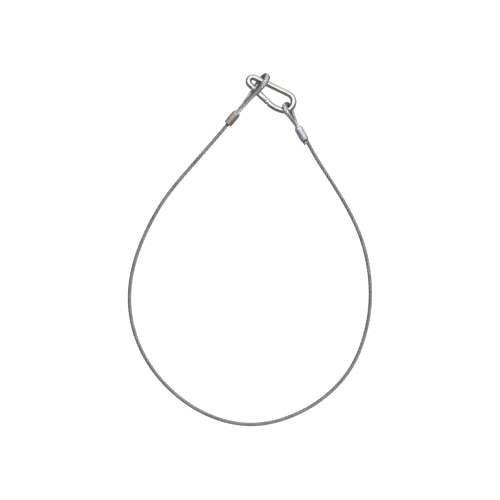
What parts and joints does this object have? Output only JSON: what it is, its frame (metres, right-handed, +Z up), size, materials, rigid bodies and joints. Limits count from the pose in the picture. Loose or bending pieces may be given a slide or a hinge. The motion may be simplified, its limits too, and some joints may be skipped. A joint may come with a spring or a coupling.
{
  "type": "wire rope safety sling with thimble eyes",
  "caption": "Wire rope safety sling with a thimble eye and pressed ferrule at each end, the eyes closed into a loop by a spring snap hook.",
  "frame": {"origin": "on the floor under the middle of the two eyes and the hook, measured without the free rope", "axes": "+Z up from the surface the sling lies on; the rope's loop lies towards -Y; +X from the left eye to the right eye"},
  "size_m": [0.26, 0.3744, 0.0256],
  "materials": {
    "rope_steel": "galvanised strand",
    "thimble_zinc": "bright zinc plate",
    "ferrule_alloy": "pressed, satin",
    "hook_zinc": "polished zinc plate",
    "pin_steel": "plain steel",
    "spring_steel": "oiled spring wire"
  },
  "bodies": {
    "sling": {"wire_rope": "rope_steel", "rope_tail": "rope_steel", "eye_rope_left": "rope_steel", "eye_rope_right": "rope_steel", "thimble_left": "thimble_zinc", "thimble_right": "thimble_zinc", "ferrule_left": "ferrule_alloy", "ferrule_right": "ferrule_alloy"},
    "hook": {"hook_body": "hook_zinc"},
    "gate": {"gate": "hook_zinc", "gate_rivet": "pin_steel", "latch_pin": "pin_steel", "gate_spring": "spring_steel"},
    "plunger": {"gate_plunger": "pin_steel"}
  },
  "joints": [
    {"name": "hook_swing", "type": "hinge", "parent": "sling", "child": "hook", "pos_m": [0.02309, -0.00074, 0.01075], "axis": [0, 0, 1], "range_deg": [-2, 6]},
    {"name": "gate_hinge", "type": "hinge", "parent": "hook", "child": "gate", "pos_m": [-0.01239, 0.0206, 0.01147], "axis": [0.0156, -0.0077, 0.9998], "range_deg": [0, 28], "stiffness_Nm_per_rad": 0.05, "springref_deg": -45.84},
    {"name": "plunger_slide", "type": "slide", "parent": "gate", "child": "plunger", "axis": [0.7156, -0.6984, -0.0166], "range_m": [0, 0.0011], "deforming": ["gate_spring"]}
  ],
  "couplings": [
    {"joint": "plunger_slide", "follows": "gate_hinge", "m_per_rad": 0.0022}
  ]
}
